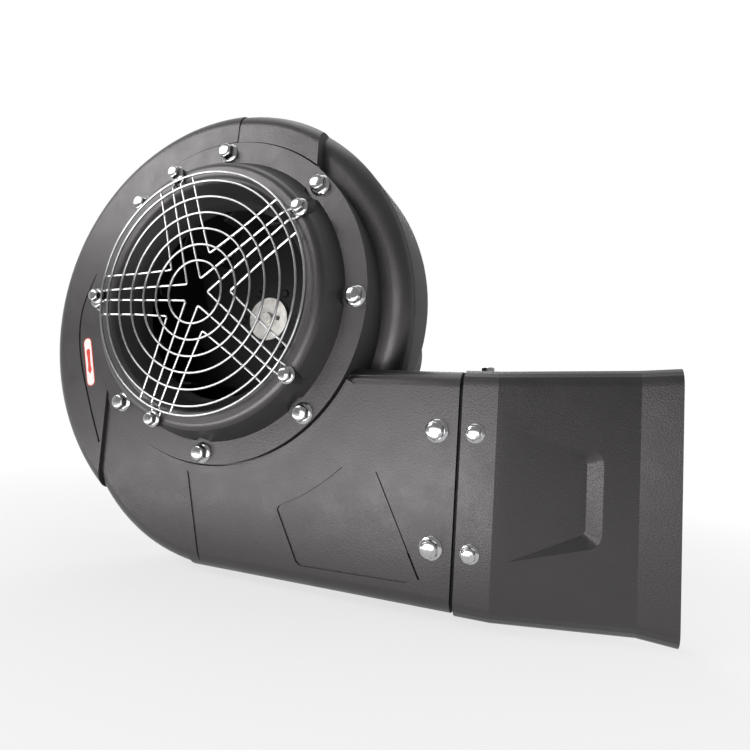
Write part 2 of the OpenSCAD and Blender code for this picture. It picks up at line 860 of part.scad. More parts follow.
module nozzle_bolts() {
  length = wall + collar_proud + sleeve_t + nut_h + bolt_proud / 2;
  front_view() color(chrome) {
    outlet_pairs(nozzle_bolt_x, duct_face_z + collar_proud, back_z - collar_proud)
      flange_bolt(nozzle_bolt_d, length);
    nozzle_edge(duct_top + collar_proud) flange_bolt(nozzle_bolt_d, length);
    nozzle_edge(duct_low - collar_proud) rotate([180, 0, 0]) flange_bolt(nozzle_bolt_d, length);
  }
}

module nozzle_nuts() {
  room = sleeve_t + sleeve_room;
  front_view() color(steel) {
    outlet_pairs(nozzle_bolt_x, inner_face - sleeve_t - nut_h, inner_back + sleeve_t + nut_h)
      hex_nut(nozzle_bolt_d, nut_h);
    nozzle_edge(inner_top - room - nut_h) hex_nut(nozzle_bolt_d, nut_h);
    nozzle_edge(inner_low + room) hex_nut(nozzle_bolt_d, nut_h);
  }
}

module motor_adapter() {
  front_view() color(dark_steel) difference() {
    union() {
      translate([0, 0, pad_z - adapter_t]) cylinder(r = adapter_r, h = adapter_t);
      cylinder(r = cup_r + adapter_t, h = pad_z - adapter_t + 1);
    }
    translate([0, 0, cup_floor]) cylinder(r = cup_r, h = pad_z);
    translate([0, 0, -1]) cylinder(r = spigot_r, h = cup_floor + 2);
    around(4, motor_bolt_r, 45) translate([0, 0, -1])
      cylinder(d = motor_bolt_d + 2 * hole_room, h = cup_floor + 2);
    around(back_bolt_count, adapter_bolt_r, back_phase) translate([0, 0, pad_z - adapter_t - 1])
      cylinder(d = guard_bolt_d + 2 * hole_room, h = adapter_t + 2);
  }
}

module adapter_bolts() {
  front_view() color(steel) around(back_bolt_count, adapter_bolt_r, back_phase)
    translate([0, 0, pad_z - adapter_t]) rotate([180, 0, 0])
      flange_bolt(guard_bolt_d, adapter_t + insert_len - 3);
}

module drive_shield() {
  front_view() color(motor_grey) difference() {
    union() {
      translate([0, 0, -shield_t]) cylinder(r = motor_flange_r, h = shield_t);
      cylinder(r = spigot_r, h = spigot_h);
      translate([0, 0, bearing_front - bearing_w - bearing_lip])
        cylinder(r = bearing_r + bearing_wall, h = bearing_w + bearing_lip);
    }
    translate([0, 0, bearing_front - bearing_w - bearing_lip - 1])
      cylinder(r = bearing_r, h = bearing_w + bearing_lip + 1);
    translate([0, 0, -shield_t]) cylinder(r = seal_r, h = shield_t + spigot_h + 1);
    around(4, motor_bolt_r, 45) translate([0, 0, -shield_t - 1])
      cylinder(d = motor_bolt_d + 2 * hole_room, h = shield_t + 2);
    around(4, shield_screw_r) {
      translate([0, 0, -shield_t - 1]) cylinder(d = screw_d + 2 * hole_room, h = shield_t + 1);
      translate([0, 0, -screw_d - 1]) cylinder(d = 1.6 * screw_d + 1, h = screw_d + spigot_h + 2);
    }
  }
}

module flange_bolts() {
  front_view() color(steel) around(4, motor_bolt_r, 45) translate([0, 0, -shield_t])
    rotate([180, 0, 0])
      flange_bolt(motor_bolt_d, shield_t + cup_floor + motor_nut_h + bolt_proud);
}

module flange_nuts() {
  front_view() color(steel) around(4, motor_bolt_r, 45)
    translate([0, 0, cup_floor]) hex_nut(motor_bolt_d, motor_nut_h);
}

module shaft_seal() {
  front_view() color(rubber_black)
    translate([0, 0, -seal_w]) tube(seal_r, shaft_d / 2 + seal_room, seal_w);
}

// Ring segment that starts at an angle
module ring_sector(inner, outer, from, sweep_angle, length) {
  rotate(from) rotate_extrude(angle = sweep_angle, $fn = 96)
    translate([inner, 0]) square([outer - inner, length]);
}

// Space between the fins, which stand on both sides of the frame
module fin_slots() {
  fin_angle = 2 * asin(fin_t / 2 / frame_r);
  half = fin_pitch * (fin_count - 1) / 2 + fin_angle / 2;
  for (side = [0, 180]) rotate(side) {
    for (i = [0 : fin_count - 2])
      ring_sector(frame_r, frame_r + fin_h + 1, -half + fin_angle + i * fin_pitch,
        fin_pitch - fin_angle, frame_len + 2);
    ring_sector(frame_r, frame_r + fin_h + 1, half, 180 - 2 * half, frame_len + 2);
  }
}

// Cast pads of the frame: two for the feet below, one for the terminal box on top
module frame_pads() {
  for (side = [-1, 1]) translate([side > 0 ? pad_in : -pad_out, -pad_drop, frame_back])
    cube([pad_w, pad_rise, frame_len - pad_setback]);
  translate([box_wall - box_w / 2, frame_r - box_pad_in, box_z])
    cube([box_w - 2 * box_wall, box_base - frame_r + box_pad_in, box_l]);
}

module motor_frame() {
  tap = screw_d + 2 * thread_room;
  front_view() color(motor_grey) difference() {
    union() {
      difference() {
        translate([0, 0, frame_back]) cylinder(r = frame_r + fin_h, h = frame_len);
        translate([0, 0, frame_back - 1]) fin_slots();
      }
      frame_pads();
    }
    translate([0, 0, frame_back - 1]) cylinder(r = frame_bore, h = frame_len + 2);
    around(4, shield_screw_r) for (z = [-shield_t - shield_screw_in, frame_back - 1])
      translate([0, 0, z]) cylinder(d = tap, h = shield_screw_in + 1);
    for (side = [-1, 1]) for (z = foot_screw_z)
      translate([side * (pad_in + pad_out) / 2, -pad_drop - 1, z]) rotate([-90, 0, 0])
        cylinder(d = foot_screw_d + 2 * thread_room, h = foot_screw_len + 1);
    translate([0, frame_bore - box_pad_in, box_z + box_l / 2]) rotate([-90, 0, 0])
      cylinder(r = wire_hole_r, h = box_base - frame_bore + box_pad_in + 1);
  }
}

module motor_feet() {
  front_view() color(motor_grey) for (side = [-1, 1]) difference() {
    translate([side > 0 ? pad_in : -pad_in - foot_w, -shaft_h,
        -foot_front - foot_span_y - foot_margin])
      cube([foot_w, foot_t, foot_span_y + 2 * foot_margin]);
    translate([0, 0, frame_back - frame_len]) cylinder(r = frame_r + frame_room, h = 2 * frame_len);
    for (z = [-foot_front, -foot_front - foot_span_y])
      translate([side * foot_span_x / 2, -shaft_h - 1, z]) rotate([-90, 0, 0])
        cylinder(d = foot_hole_d, h = foot_t + 2);
    for (z = foot_screw_z)
      translate([side * (pad_in + pad_out) / 2, -shaft_h - 1, z]) rotate([-90, 0, 0]) {
        cylinder(d = foot_screw_d + 2 * hole_room, h = foot_t + 2);
        cylinder(d = foot_bore_d, h = foot_bore_h + 1);
      }
  }
}

module foot_screws() {
  front_view() color(steel) for (side = [-1, 1]) for (z = foot_screw_z)
    translate([side * (pad_in + pad_out) / 2, foot_bore_h - shaft_h, z]) rotate([90, 0, 0])
      cap_screw(foot_screw_d, foot_screw_len);
}

module stator_core() {
  front_view() color(steel) translate([0, 0, core_back])
    tube(frame_bore, rotor_r + air_gap, core_len);
}

module stator_windings() {
  front_view() color(copper) for (z = [core_front, core_back - winding_len])
    translate([0, 0, z]) tube(frame_bore - winding_t, rotor_r + winding_room, winding_len);
}

// Ball bearing rings, with the groove of the race in each
module race_groove(radius) {
  rotate_extrude() translate([bearing_pitch, 0]) circle(r = radius);
}

module bearing_outer(front) {
  translate([0, 0, front - bearing_w / 2]) difference() {
    translate([0, 0, -bearing_w / 2]) tube(bearing_r, bearing_pitch + ring_gap, bearing_w);
    race_groove(ball_r + ball_room);
  }
}

module bearing_inner(front) {
  translate([0, 0, front - bearing_w / 2]) difference() {
    translate([0, 0, -bearing_w / 2]) tube(bearing_pitch - ring_gap, bearing_bore, bearing_w);
    race_groove(ball_r);
  }
}

module bearing_balls(front) {
  translate([0, 0, front - bearing_w / 2]) {
    around(ball_count, bearing_pitch) sphere(r = ball_r);
    translate([0, 0, -cage_w / 2])
      tube(bearing_pitch + cage_half, bearing_pitch - cage_half, cage_w);
  }
}

module drive_bearing_outer() { front_view() color(steel) bearing_outer(bearing_front); }
module drive_bearing_inner() { front_view() color(steel) bearing_inner(bearing_front); }
module drive_bearing_balls() { front_view() color(chrome) bearing_balls(bearing_front); }
module rear_bearing_outer() { front_view() color(steel) bearing_outer(rear_bearing_front); }
module rear_bearing_inner() { front_view() color(steel) bearing_inner(rear_bearing_front); }
module rear_bearing_balls() { front_view() color(chrome) bearing_balls(rear_bearing_front); }

module rear_shield() {
  low = frame_back - rear_t;
  seat = rear_bearing_front - bearing_w - washer_t;
  front_view() color(motor_grey) difference() {
    union() {
      translate([0, 0, low]) cylinder(r = cowl_r - cowl_t, h = rear_t);
      translate([0, 0, low]) cylinder(r = bearing_r + bearing_wall - 1, h = rear_t + 8);
    }
    translate([0, 0, seat]) cylinder(r = bearing_r, h = frame_len);
    translate([0, 0, low - 1]) cylinder(r = tail_r + 2, h = 2 * rear_t);
    around(4, shield_screw_r) translate([0, 0, low - 1])
      cylinder(d = screw_d + 2 * hole_room, h = rear_t + 2);
    cowl_screw_places() translate([0, 0, -cowl_screw_len - 1])
      cylinder(d = cowl_screw_d + 2 * thread_room, h = 2 * cowl_screw_len);
  }
}

// Four places round the cowl over the rear shield, pointing out
module cowl_screw_places() {
  around(4, cowl_r, 45) translate([0, 0, frame_back - rear_t / 2]) rotate([0, 90, 0]) children();
}

module wave_washer() {
  front_view() color(steel) translate([0, 0, rear_bearing_front - bearing_w - washer_t])
    tube(bearing_r, bearing_r - washer_w, washer_t);
}

module drive_shield_screws() {
  front_view() color(dark_steel) around(4, shield_screw_r)
    translate([0, 0, -screw_d - 1]) cap_screw(screw_d, shield_t + shield_screw_in - screw_d - 4);
}

module rear_shield_screws() {
  front_view() color(dark_steel) around(4, shield_screw_r) translate([0, 0, frame_back - rear_t])
    rotate([180, 0, 0]) cap_screw(screw_d, rear_t + shield_screw_in - 4);
}

module fan_cowl() {
  length = frame_back - cowl_end;
  front_view() color(black) difference() {
    translate([0, 0, cowl_end]) cylinder(r = cowl_r, h = length);
    translate([0, 0, cowl_end + cowl_t]) cylinder(r = cowl_r - cowl_t, h = length);
    for (i = [0 : 2]) let (ring = cowl_hole_ring + i * cowl_hole_pitch)
      around(round(ring / cowl_hole_room), ring)
        translate([0, 0, cowl_end - 1]) cylinder(r = cowl_hole_r, h = cowl_t + 2);
    cowl_screw_places() translate([0, 0, -cowl_screw_len + 2])
      cylinder(d = cowl_screw_d + 2 * hole_room, h = 2 * cowl_screw_len);
  }
}

module cowl_screws() {
  front_view() color(steel) cowl_screw_places() cap_screw(cowl_screw_d, cowl_screw_len);
}

module terminal_box() {
  front_view() color(motor_grey) translate([-box_w / 2, box_base, box_z]) {
    difference() {
      cube([box_w, box_h, box_l]);
      translate([box_wall, box_wall, box_wall])
        cube([box_w - 2 * box_wall, box_h, box_l - 2 * box_wall]);
      translate([box_w / 2, -1, box_l / 2]) rotate([-90, 0, 0])
        cylinder(r = wire_hole_r, h = box_wall + 2);
      translate([-1, box_h / 2, box_l / 2]) rotate([0, 90, 0])
        cylinder(r = gland_r, h = box_wall + 2);
      box_corners() translate([0, box_wall, 0]) rotate([-90, 0, 0])
        cylinder(r = corner_r, h = box_h);
    }
    box_corners() rotate([-90, 0, 0]) tube(corner_r, screw_d / 2, box_h);
  }
}

module box_corners() {
  for (x = [corner_in, box_w - corner_in]) for (z = [corner_in, box_l - corner_in])
    translate([x, 0, z]) children();
}

module terminal_gasket() {
  front_view() color(rubber_black) translate([-box_w / 2, box_base + box_h, box_z]) difference() {
    cube([box_w, gasket_t, box_l]);
    translate([gasket_w, -1, gasket_w])
      cube([box_w - 2 * gasket_w, gasket_t + 2, box_l - 2 * gasket_w]);
    box_corners() translate([0, -1, 0]) rotate([-90, 0, 0])
      cylinder(d = screw_d + 1, h = gasket_t + 2);
  }
}

module terminal_lid() {
  front_view() color(motor_grey)
    translate([-box_w / 2, box_base + box_h + gasket_t, box_z]) difference() {
      cube([box_w, lid_t, box_l]);
      box_corners() translate([0, -1, 0]) rotate([-90, 0, 0]) cylinder(d = screw_d, h = lid_t + 2);
    }
}

module lid_screws() {
  front_view() color(steel)
    translate([-box_w / 2, box_base + box_h + gasket_t + lid_t, box_z])
      box_corners() rotate([-90, 0, 0])
        cap_screw(box_screw_d, lid_t + gasket_t + 2 * box_screw_d);
}

module terminal_block() {
  front_view() color(resin) translate([block_x, box_base + box_wall, box_z + block_z]) {
    cube(block_size);
    for (i = [0 : stud_count - 1])
      translate([block_size.x / 2, block_size.y, block_size.z * (i + 0.5) / stud_count])
        rotate([-90, 0, 0]) cylinder(d = stud_d, h = stud_h);
  }
}

module cable_gland() {
  front_view() color(black) translate([-box_w / 2, box_base + box_h / 2, box_z + box_l / 2])
    rotate([0, -90, 0]) difference() {
      union() {
        translate([0, 0, -2 * box_wall]) cylinder(r = gland_r, h = 2 * box_wall + 1);
        cylinder(r = gland_hex_r, h = gland_hex_h, $fn = 6);
        cylinder(r = gland_cap_r, h = gland_len);
      }
      translate([0, 0, -2 * box_wall - 1]) cylinder(r = gland_bore, h = 2 * gland_len);
    }
}

module key_block() {
  translate([-key_w / 2, shaft_d / 2 - key_depth, key_z]) cube([key_w, key_h, key_len]);
}

module motor_shaft() {
  bearing_back = bearing_front - bearing_w;
  rear_bearing_back = rear_bearing_front - bearing_w;
  front_view() color(steel) difference() {
    union() {
      translate([0, 0, bearing_front]) cylinder(d = shaft_d, h = shaft_len - bearing_front);
      translate([0, 0, bearing_back]) cylinder(r = bearing_bore, h = bearing_w);
      translate([0, 0, rear_bearing_front])
        cylinder(r = rotor_shaft_r, h = bearing_back - rear_bearing_front);
      translate([0, 0, rear_bearing_back]) cylinder(r = bearing_bore, h = bearing_w);
      translate([0, 0, tail_end]) cylinder(r = tail_r, h = rear_bearing_back - tail_end);
    }
    key_block();
    translate([0, 0, shaft_len - shaft_tap])
      cylinder(d = ring_bolt_d + 2 * thread_room, h = shaft_tap + 1);
  }
}

module shaft_key() { front_view() color(steel) key_block(); }

module rotor_core() {
  front_view() color(dark_steel)
    translate([0, 0, core_back]) tube(rotor_r, rotor_shaft_r, core_len);
}

module rotor_end_rings() {
  front_view() color(aluminium) for (z = [core_front, core_back - end_ring_len])
    translate([0, 0, z]) tube(rotor_r - end_ring_step, end_ring_bore, end_ring_len);
}

module cooling_fan() {
  low = tail_end + 2;
  vane_h = fan_hub_h - fan_disc_t;
  front_view() color(black) difference() {
    union() {
      translate([0, 0, low]) cylinder(r = fan_hub_r, h = fan_hub_h);
      translate([0, 0, low + vane_h - 1]) cylinder(r = fan_disc_r, h = fan_disc_t);
      around(vane_count, vane_from) translate([0, -vane_t / 2, low])
        cube([fan_disc_r - vane_edge - vane_from, vane_t, vane_h]);
    }
    translate([0, 0, low - 1]) cylinder(r = tail_r, h = fan_hub_h + 2);
  }
}

module impeller_hub() {
  nose = shaft_len + hub_proud - wheel_back;
  front_view() color(black) difference() {
    union() {
      translate([0, 0, hub_back]) cylinder(r = hub_r, h = wheel_back - hub_back);
      translate([0, 0, wheel_back - hub_flange_t]) cylinder(r = hub_flange_r, h = hub_flange_t);
      translate([0, 0, wheel_back - 1]) cylinder(r = hub_nose_r, h = nose + 1);
    }
    cylinder(d = shaft_d, h = 2 * shaft_len);
    translate([-key_w / 2, 0, 0])
      cube([key_w, shaft_d / 2 - key_depth + key_h, 2 * shaft_len]);
    around(rivet_count, rivet_ring_r) cylinder(r = rivet_r, h = 2 * shaft_len);
  }
}

module hub_rivets() {
  length = plate_t + hub_flange_t;
  front_view() color(steel) around(rivet_count, rivet_ring_r)
    translate([0, 0, wheel_back - hub_flange_t]) {
      cylinder(r = rivet_r, h = length);
      translate([0, 0, length]) cylinder(r1 = rivet_head_r, r2 = rivet_top_r, h = rivet_head_h);
      translate([0, 0, -rivet_head_h])
        cylinder(r1 = rivet_top_r, r2 = rivet_head_r, h = rivet_head_h);
    }
}

module impeller_backplate() {
  front_view() color(black) difference() {
    translate([0, 0, wheel_back]) cylinder(r = wheel_r, h = plate_t, $fn = 96);
    translate([0, 0, wheel_back - 1]) cylinder(r = hub_nose_r, h = plate_t + 2);
    around(rivet_count, rivet_ring_r) translate([0, 0, wheel_back - 1])
      cylinder(r = rivet_r, h = plate_t + 2);
  }
}

// Angle on the blade's arc where it meets a circle about the fan axis
function blade_angle(r) = acos((blade_arc_at * blade_arc_at + blade_arc_r * blade_arc_r - r * r)
  / (2 * blade_arc_at * blade_arc_r));
// Height of the shroud's inner face at a radius
function shroud_line(r) = wheel_rim
  + (wheel_r - r) * (shroud_eye_z - wheel_rim) / (wheel_r - eye_ring_r);

// Each blade is one arc that meets the eye circle and the rim at the two blade angles
module impeller_blades() {
  from = 180 - blade_angle(wheel_r - 1);
  to = 180 - blade_angle(blade_root_r);
  beyond = wheel_r + hub_r;
  front_view() color(black) intersection() {
    around(blade_count, blade_arc_at) translate([0, 0, wheel_front]) rotate(from)
      rotate_extrude(angle = to - from, $fn = 96)
        translate([blade_arc_r - blade_t / 2, 0]) square([blade_t, shroud_eye_z - wheel_front]);
    rotate_extrude($fn = 96) polygon([[hub_r, wheel_front], [beyond, wheel_front],
      [beyond, shroud_line(beyond)], [hub_r, shroud_line(hub_r)]]);
  }
}

module impeller_shroud() {
  front_view() color(black) rotate_extrude($fn = 96) polygon([
    [wheel_r, wheel_rim], [wheel_r, wheel_rim + shroud_t],
    [eye_ring_r + shroud_t, shroud_eye_z + shroud_t],
    [eye_ring_r + shroud_t, shroud_eye_z + eye_ring_h],
    [eye_ring_r, shroud_eye_z + eye_ring_h], [eye_ring_r, shroud_eye_z]]);
}

module retaining_disc() {
  front_view() color(chrome) translate([0, 0, shaft_len + hub_proud]) difference() {
    cylinder(r = disc_r, h = disc_t);
    translate([0, 0, -1]) cylinder(d = ring_bolt_d + 2 * hole_room, h = disc_t + 2);
    around(2, disc_hole_ring, 5) translate([0, 0, -1]) cylinder(r = disc_hole_r, h = disc_t + 2);
  }
}

module retaining_bolt() {
  length = disc_t + hub_proud + disc_bolt_in;
  front_view() color(chrome) translate([0, 0, shaft_len + hub_proud + disc_t]) {
    hex_head(ring_bolt_d, disc_head_h);
    translate([0, 0, -length]) cylinder(d = ring_bolt_d, h = length);
  }
}

scroll_housing();
ring_inserts();
back_inserts();
inlet_ring();
guard_inserts();
ring_bolts();
guard_rings();
guard_spokes();
guard_bolts();
outlet_sleeve();
neck_bolts();
neck_nuts();
nozzle();
nozzle_bolts();
nozzle_nuts();
motor_adapter();
adapter_bolts();
drive_shield();
flange_bolts();
flange_nuts();
shaft_seal();
motor_frame();
motor_feet();
foot_screws();
stator_core();
stator_windings();
drive_bearing_outer();
rear_shield();
rear_bearing_outer();
wave_washer();
drive_shield_screws();
rear_shield_screws();
fan_cowl();
cowl_screws();
terminal_box();
terminal_gasket();
terminal_lid();
lid_screws();
terminal_block();
cable_gland();
motor_shaft();
shaft_key();
rotor_core();
rotor_end_rings();
drive_bearing_inner();
drive_bearing_balls();
rear_bearing_inner();
rear_bearing_balls();
cooling_fan();
impeller_hub();
hub_rivets();
impeller_backplate();
impeller_blades();
impeller_shroud();
retaining_disc();
retaining_bolt();
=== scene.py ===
import json
import math

import bmesh
import bpy
from mathutils import Matrix, Vector


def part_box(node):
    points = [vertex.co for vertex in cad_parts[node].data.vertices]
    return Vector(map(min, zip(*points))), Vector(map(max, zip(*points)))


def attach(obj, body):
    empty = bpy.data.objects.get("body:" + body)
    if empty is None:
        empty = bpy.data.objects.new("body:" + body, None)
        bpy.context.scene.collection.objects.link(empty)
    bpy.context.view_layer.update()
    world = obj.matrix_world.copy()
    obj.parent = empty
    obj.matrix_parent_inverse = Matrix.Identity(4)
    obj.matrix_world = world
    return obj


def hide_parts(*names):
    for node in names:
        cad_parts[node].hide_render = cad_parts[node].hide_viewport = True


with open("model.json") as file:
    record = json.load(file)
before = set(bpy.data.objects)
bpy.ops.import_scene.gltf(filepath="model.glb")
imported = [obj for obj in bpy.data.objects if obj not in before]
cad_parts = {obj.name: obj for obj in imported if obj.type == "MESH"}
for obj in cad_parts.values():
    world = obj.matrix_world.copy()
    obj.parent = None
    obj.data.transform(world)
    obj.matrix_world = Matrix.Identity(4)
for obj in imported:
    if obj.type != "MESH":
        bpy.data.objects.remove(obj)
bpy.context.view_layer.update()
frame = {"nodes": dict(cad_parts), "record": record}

nodes = frame["nodes"]
scene = bpy.context.scene
MM = 0.001

# Front-view frame of the housing, in mm: x to the outlet, y up, z along the shaft to the inlet
FEET_MID = 133.0
SHAFT_H = 100.0
FRONT, BACK, UP, DOWN = (0, 0, 1), (0, 0, -1), (0, 1, 0), (0, -1, 0)


def at(x, y, z):
    """A point of the front-view frame, given in mm, as a vector of the scene in metres."""
    return Vector((x, -z - FEET_MID, y + SHAFT_H)) * MM


# Shader nodes
def shader_of(mat):
    return mat.node_tree.nodes["Principled BSDF"]


def new_material(name):
    """A new material with its node tree and its Principled shader."""
    mat = bpy.data.materials.new(name)
    mat.use_nodes = True
    return mat, mat.node_tree, shader_of(mat)


def node(tree, kind, **values):
    """A new node with the given settings and input values."""
    item = tree.nodes.new(kind)
    for key, value in values.items():
        if hasattr(item, key):
            setattr(item, key, value)
        else:
            item.inputs[key.replace("_", " ")].default_value = value
    return item


def coords(tree, stretch=(1, 1, 1)):
    """Object coordinates in metres, stretched along the axes."""
    tex = node(tree, "ShaderNodeTexCoord")
    mapping = node(tree, "ShaderNodeMapping")
    mapping.inputs["Scale"].default_value = stretch
    tree.links.new(tex.outputs["Object"], mapping.inputs["Vector"])
    return mapping.outputs["Vector"]


def noise(tree, vector, scale, detail=4.0, roughness=0.55):
    tex = node(tree, "ShaderNodeTexNoise", Scale=scale, Detail=detail, Roughness=roughness)
    tree.links.new(vector, tex.inputs["Vector"])
    return tex.outputs["Fac"]


def ramp(tree, value, low, high, start, end):
    """Maps a value from start..end to two colours or two grey levels."""
    item = node(tree, "ShaderNodeValToRGB")
    item.color_ramp.elements[0].position = start
    item.color_ramp.elements[1].position = end
    for element, tone in zip(item.color_ramp.elements, (low, high)):
        element.color = (*tone, 1) if isinstance(tone, tuple) else (tone, tone, tone, 1)
    tree.links.new(value, item.inputs["Fac"])
    return item.outputs["Color"]


def bump(tree, heights, shader):
    """Stacks height fields, each (value, strength, distance in metres), on the shader's normal."""
    normal = None
    for value, strength, distance in heights:
        item = node(tree, "ShaderNodeBump", Strength=strength, Distance=distance)
        tree.links.new(value, item.inputs["Height"])
        if normal:
            tree.links.new(normal, item.inputs["Normal"])
        normal = item.outputs["Normal"]
    tree.links.new(normal, shader.inputs["Normal"])


# Materials: each takes its darkest and lightest colour and its lowest and highest roughness
def plastic(name, dark, light, rough, grain, depth):
    """Moulded plastic with a fine leather grain, faint clouding and rubbed patches."""
    mat, tree, shader = new_material(name)
    vec = coords(tree)
    clouds = noise(tree, vec, scale=9.0, detail=3.0)
    tree.links.new(ramp(tree, clouds, dark, light, start=0.35, end=0.7),
                   shader.inputs["Base Color"])
    patches = noise(tree, vec, scale=38.0, detail=5.0, roughness=0.65)
    tree.links.new(ramp(tree, patches, *rough, start=0.35, end=0.7), shader.inputs["Roughness"])
    cells = node(tree, "ShaderNodeTexVoronoi", Scale=grain)
    tree.links.new(vec, cells.inputs["Vector"])
    uneven = noise(tree, vec, scale=grain * 1.1, detail=2.0)
    bump(tree, [(cells.outputs["Distance"], 0.55, depth), (uneven, 0.5, depth)], shader)
    return mat


def metal(name, dark, light, rough, stretch=(1, 1, 1), scale=400.0, depth=0.00002):
    """Bare or plated metal with fine tool marks, long where stretched, and slight clouding."""
    mat, tree, shader = new_material(name)
    shader.inputs["Metallic"].default_value = 1.0
    marks = noise(tree, coords(tree, stretch), scale, detail=5.0, roughness=0.6)
    tree.links.new(ramp(tree, marks, dark, light, start=0.3, end=0.75),
                   shader.inputs["Base Color"])
    clouds = noise(tree, coords(tree), scale=70.0, detail=3.0)
    tree.links.new(ramp(tree, clouds, *rough, start=0.3, end=0.7), shader.inputs["Roughness"])
    bump(tree, [(marks, 0.4, depth)], shader)
    return mat


def paint(name, dark, light, rough):
    """Sprayed paint on metal, with orange peel and slight clouding."""
    mat, tree, shader = new_material(name)
    vec = coords(tree)
    clouds = noise(tree, vec, scale=14.0)
    tree.links.new(ramp(tree, clouds, dark, light, start=0.35, end=0.7),
                   shader.inputs["Base Color"])
    patches = noise(tree, vec, scale=60.0)
    tree.links.new(ramp(tree, patches, *rough, start=0.3, end=0.7), shader.inputs["Roughness"])
    peel = noise(tree, vec, scale=260.0, detail=3.0)
    bump(tree, [(peel, 0.4, 0.00006)], shader)
    return mat


def turned(name, dark, light, rough):
    """Turned metal: fine rings round the shaft, with smudges."""
    mat, tree, shader = new_material(name)
    shader.inputs["Metallic"].default_value = 1.0
    place = node(tree, "ShaderNodeTexCoord").outputs["Object"]
    across = node(tree, "ShaderNodeVectorMath", operation="MULTIPLY_ADD")
    across.inputs[1].default_value = (1, 0, 1)
    across.inputs[2].default_value = (0, 0, -SHAFT_H * MM)
    tree.links.new(place, across.inputs[0])
    reach = node(tree, "ShaderNodeVectorMath", operation="LENGTH")
    tree.links.new(across.outputs[0], reach.inputs[0])
    rings = node(tree, "ShaderNodeTexNoise", noise_dimensions="1D", Scale=2600.0, Detail=3.0)
    tree.links.new(reach.outputs["Value"], rings.inputs["W"])
    smudges = noise(tree, place, scale=75.0, detail=5.0, roughness=0.6)
    tree.links.new(ramp(tree, smudges, dark, light, start=0.36, end=0.62),
                   shader.inputs["Base Color"])
    tree.links.new(ramp(tree, rings.outputs["Fac"], *rough, start=0.3, end=0.7),
                   shader.inputs["Roughness"])
    bump(tree, [(rings.outputs["Fac"], 0.5, 0.00002)], shader)
    return mat


def coarser_sides(mat, side_rough):
    """Makes the faces that look away from the front and the back rougher, like a mould's sides."""
    tree, roughness = mat.node_tree, shader_of(mat).inputs["Roughness"]
    parts = node(tree, "ShaderNodeSeparateXYZ")
    tree.links.new(node(tree, "ShaderNodeTexCoord").outputs["Normal"], parts.inputs[0])
    facing = node(tree, "ShaderNodeMath", operation="ABSOLUTE")
    tree.links.new(parts.outputs["Y"], facing.inputs[0])
    side = node(tree, "ShaderNodeMapRange", From_Min=0.25, From_Max=0.75, To_Min=side_rough,
                To_Max=0.0)
    tree.links.new(facing.outputs[0], side.inputs["Value"])
    rough = node(tree, "ShaderNodeMath", operation="MAXIMUM")
    tree.links.new(side.outputs["Result"], rough.inputs[0])
    tree.links.new(roughness.links[0].from_socket, rough.inputs[1])
    tree.links.new(rough.outputs[0], roughness)


def moulded_black():
    """The plastic of the housing, ring and nozzle: a clear sheen in front, coarser on the sides."""
    mat = plastic("black_plastic", (0.0080, 0.0074, 0.0077), (0.0115, 0.0107, 0.0111),
                  (0.33, 0.43), grain=620.0, depth=0.00016)
    coarser_sides(mat, side_rough=0.7)
    shader_of(mat).inputs["Specular IOR Level"].default_value = 0.97
    shader_of(mat).inputs["Specular Tint"].default_value = (1.0, 0.955, 0.965, 1)
    return mat


def matt_black():
    """The paint of the impeller, the motor's adapter and the cowl; on the outlet's sleeve its black
    is painted shade for the dark gap between duct and nozzle.
    """
    mat = paint("black_paint", (0.0090, 0.0088, 0.0092), (0.0140, 0.0137, 0.0143), (0.42, 0.55))
    shader_of(mat).inputs["Specular IOR Level"].default_value = 0.3
    return mat


PLATED_MARKS = {"scale": 160.0, "depth": 0.00003}
chrome = metal("chrome", (0.40, 0.40, 0.41), (0.56, 0.56, 0.57), (0.07, 0.16), **PLATED_MARKS)
# Spoke wires: a brighter and slightly rougher copy of the chrome; the extra brightness is painted
# light for the light that the wires catch
painted_light_wire = metal("painted_light_wire", (0.66, 0.66, 0.67), (0.82, 0.82, 0.83), (0.16, 0.26),
                    **PLATED_MARKS)
turned_steel = turned("turned_steel", (0.60, 0.58, 0.55), (0.86, 0.835, 0.80), (0.36, 0.48))
SLOT_MATERIALS = {
    "black_plastic": moulded_black(),
    "black_nylon": plastic("black_nylon", (0.022, 0.022, 0.024), (0.032, 0.032, 0.034),
                           (0.42, 0.55), grain=500.0, depth=0.00008),
    "terminal_resin": plastic("terminal_resin", (0.20, 0.055, 0.03), (0.27, 0.08, 0.045),
                              (0.3, 0.4), grain=700.0, depth=0.00004),
    "rubber": plastic("rubber", (0.018, 0.018, 0.018), (0.028, 0.028, 0.028), (0.65, 0.8),
                      grain=600.0, depth=0.0001),
    "chrome": chrome,
    "steel": metal("steel", (0.50, 0.51, 0.52), (0.62, 0.63, 0.64), (0.28, 0.42),
                   stretch=(1, 0.08, 1), scale=900.0),
    "brass": metal("brass", (0.60, 0.44, 0.17), (0.72, 0.55, 0.25), (0.25, 0.38)),
    "aluminium": metal("aluminium", (0.10, 0.10, 0.105), (0.16, 0.16, 0.165), (0.35, 0.5)),
    "copper": metal("copper", (0.50, 0.22, 0.10), (0.66, 0.32, 0.16), (0.3, 0.45)),
    "motor_paint": paint("motor_paint", (0.085, 0.10, 0.115), (0.11, 0.125, 0.145), (0.38, 0.5)),
    "black_paint": matt_black(),
}
NODE_MATERIALS = {"retaining_disc": turned_steel, "retaining_bolt": turned_steel}

# CAD nodes: width of the rounded edges in mm, and the angle in degrees from which an edge is sharp
BEVELLED = {"scroll_housing": (0.9, 32.0), "nozzle": (0.9, 13.0), "inlet_ring": (0.7, 32.0)}
UNBEVELLED = (0.0, 32.0)
# Steps of a rounded edge, and the angle in degrees from which faces beside it still part
BEVEL_STEPS, BEVELLED_SPLIT = 2, 50.0
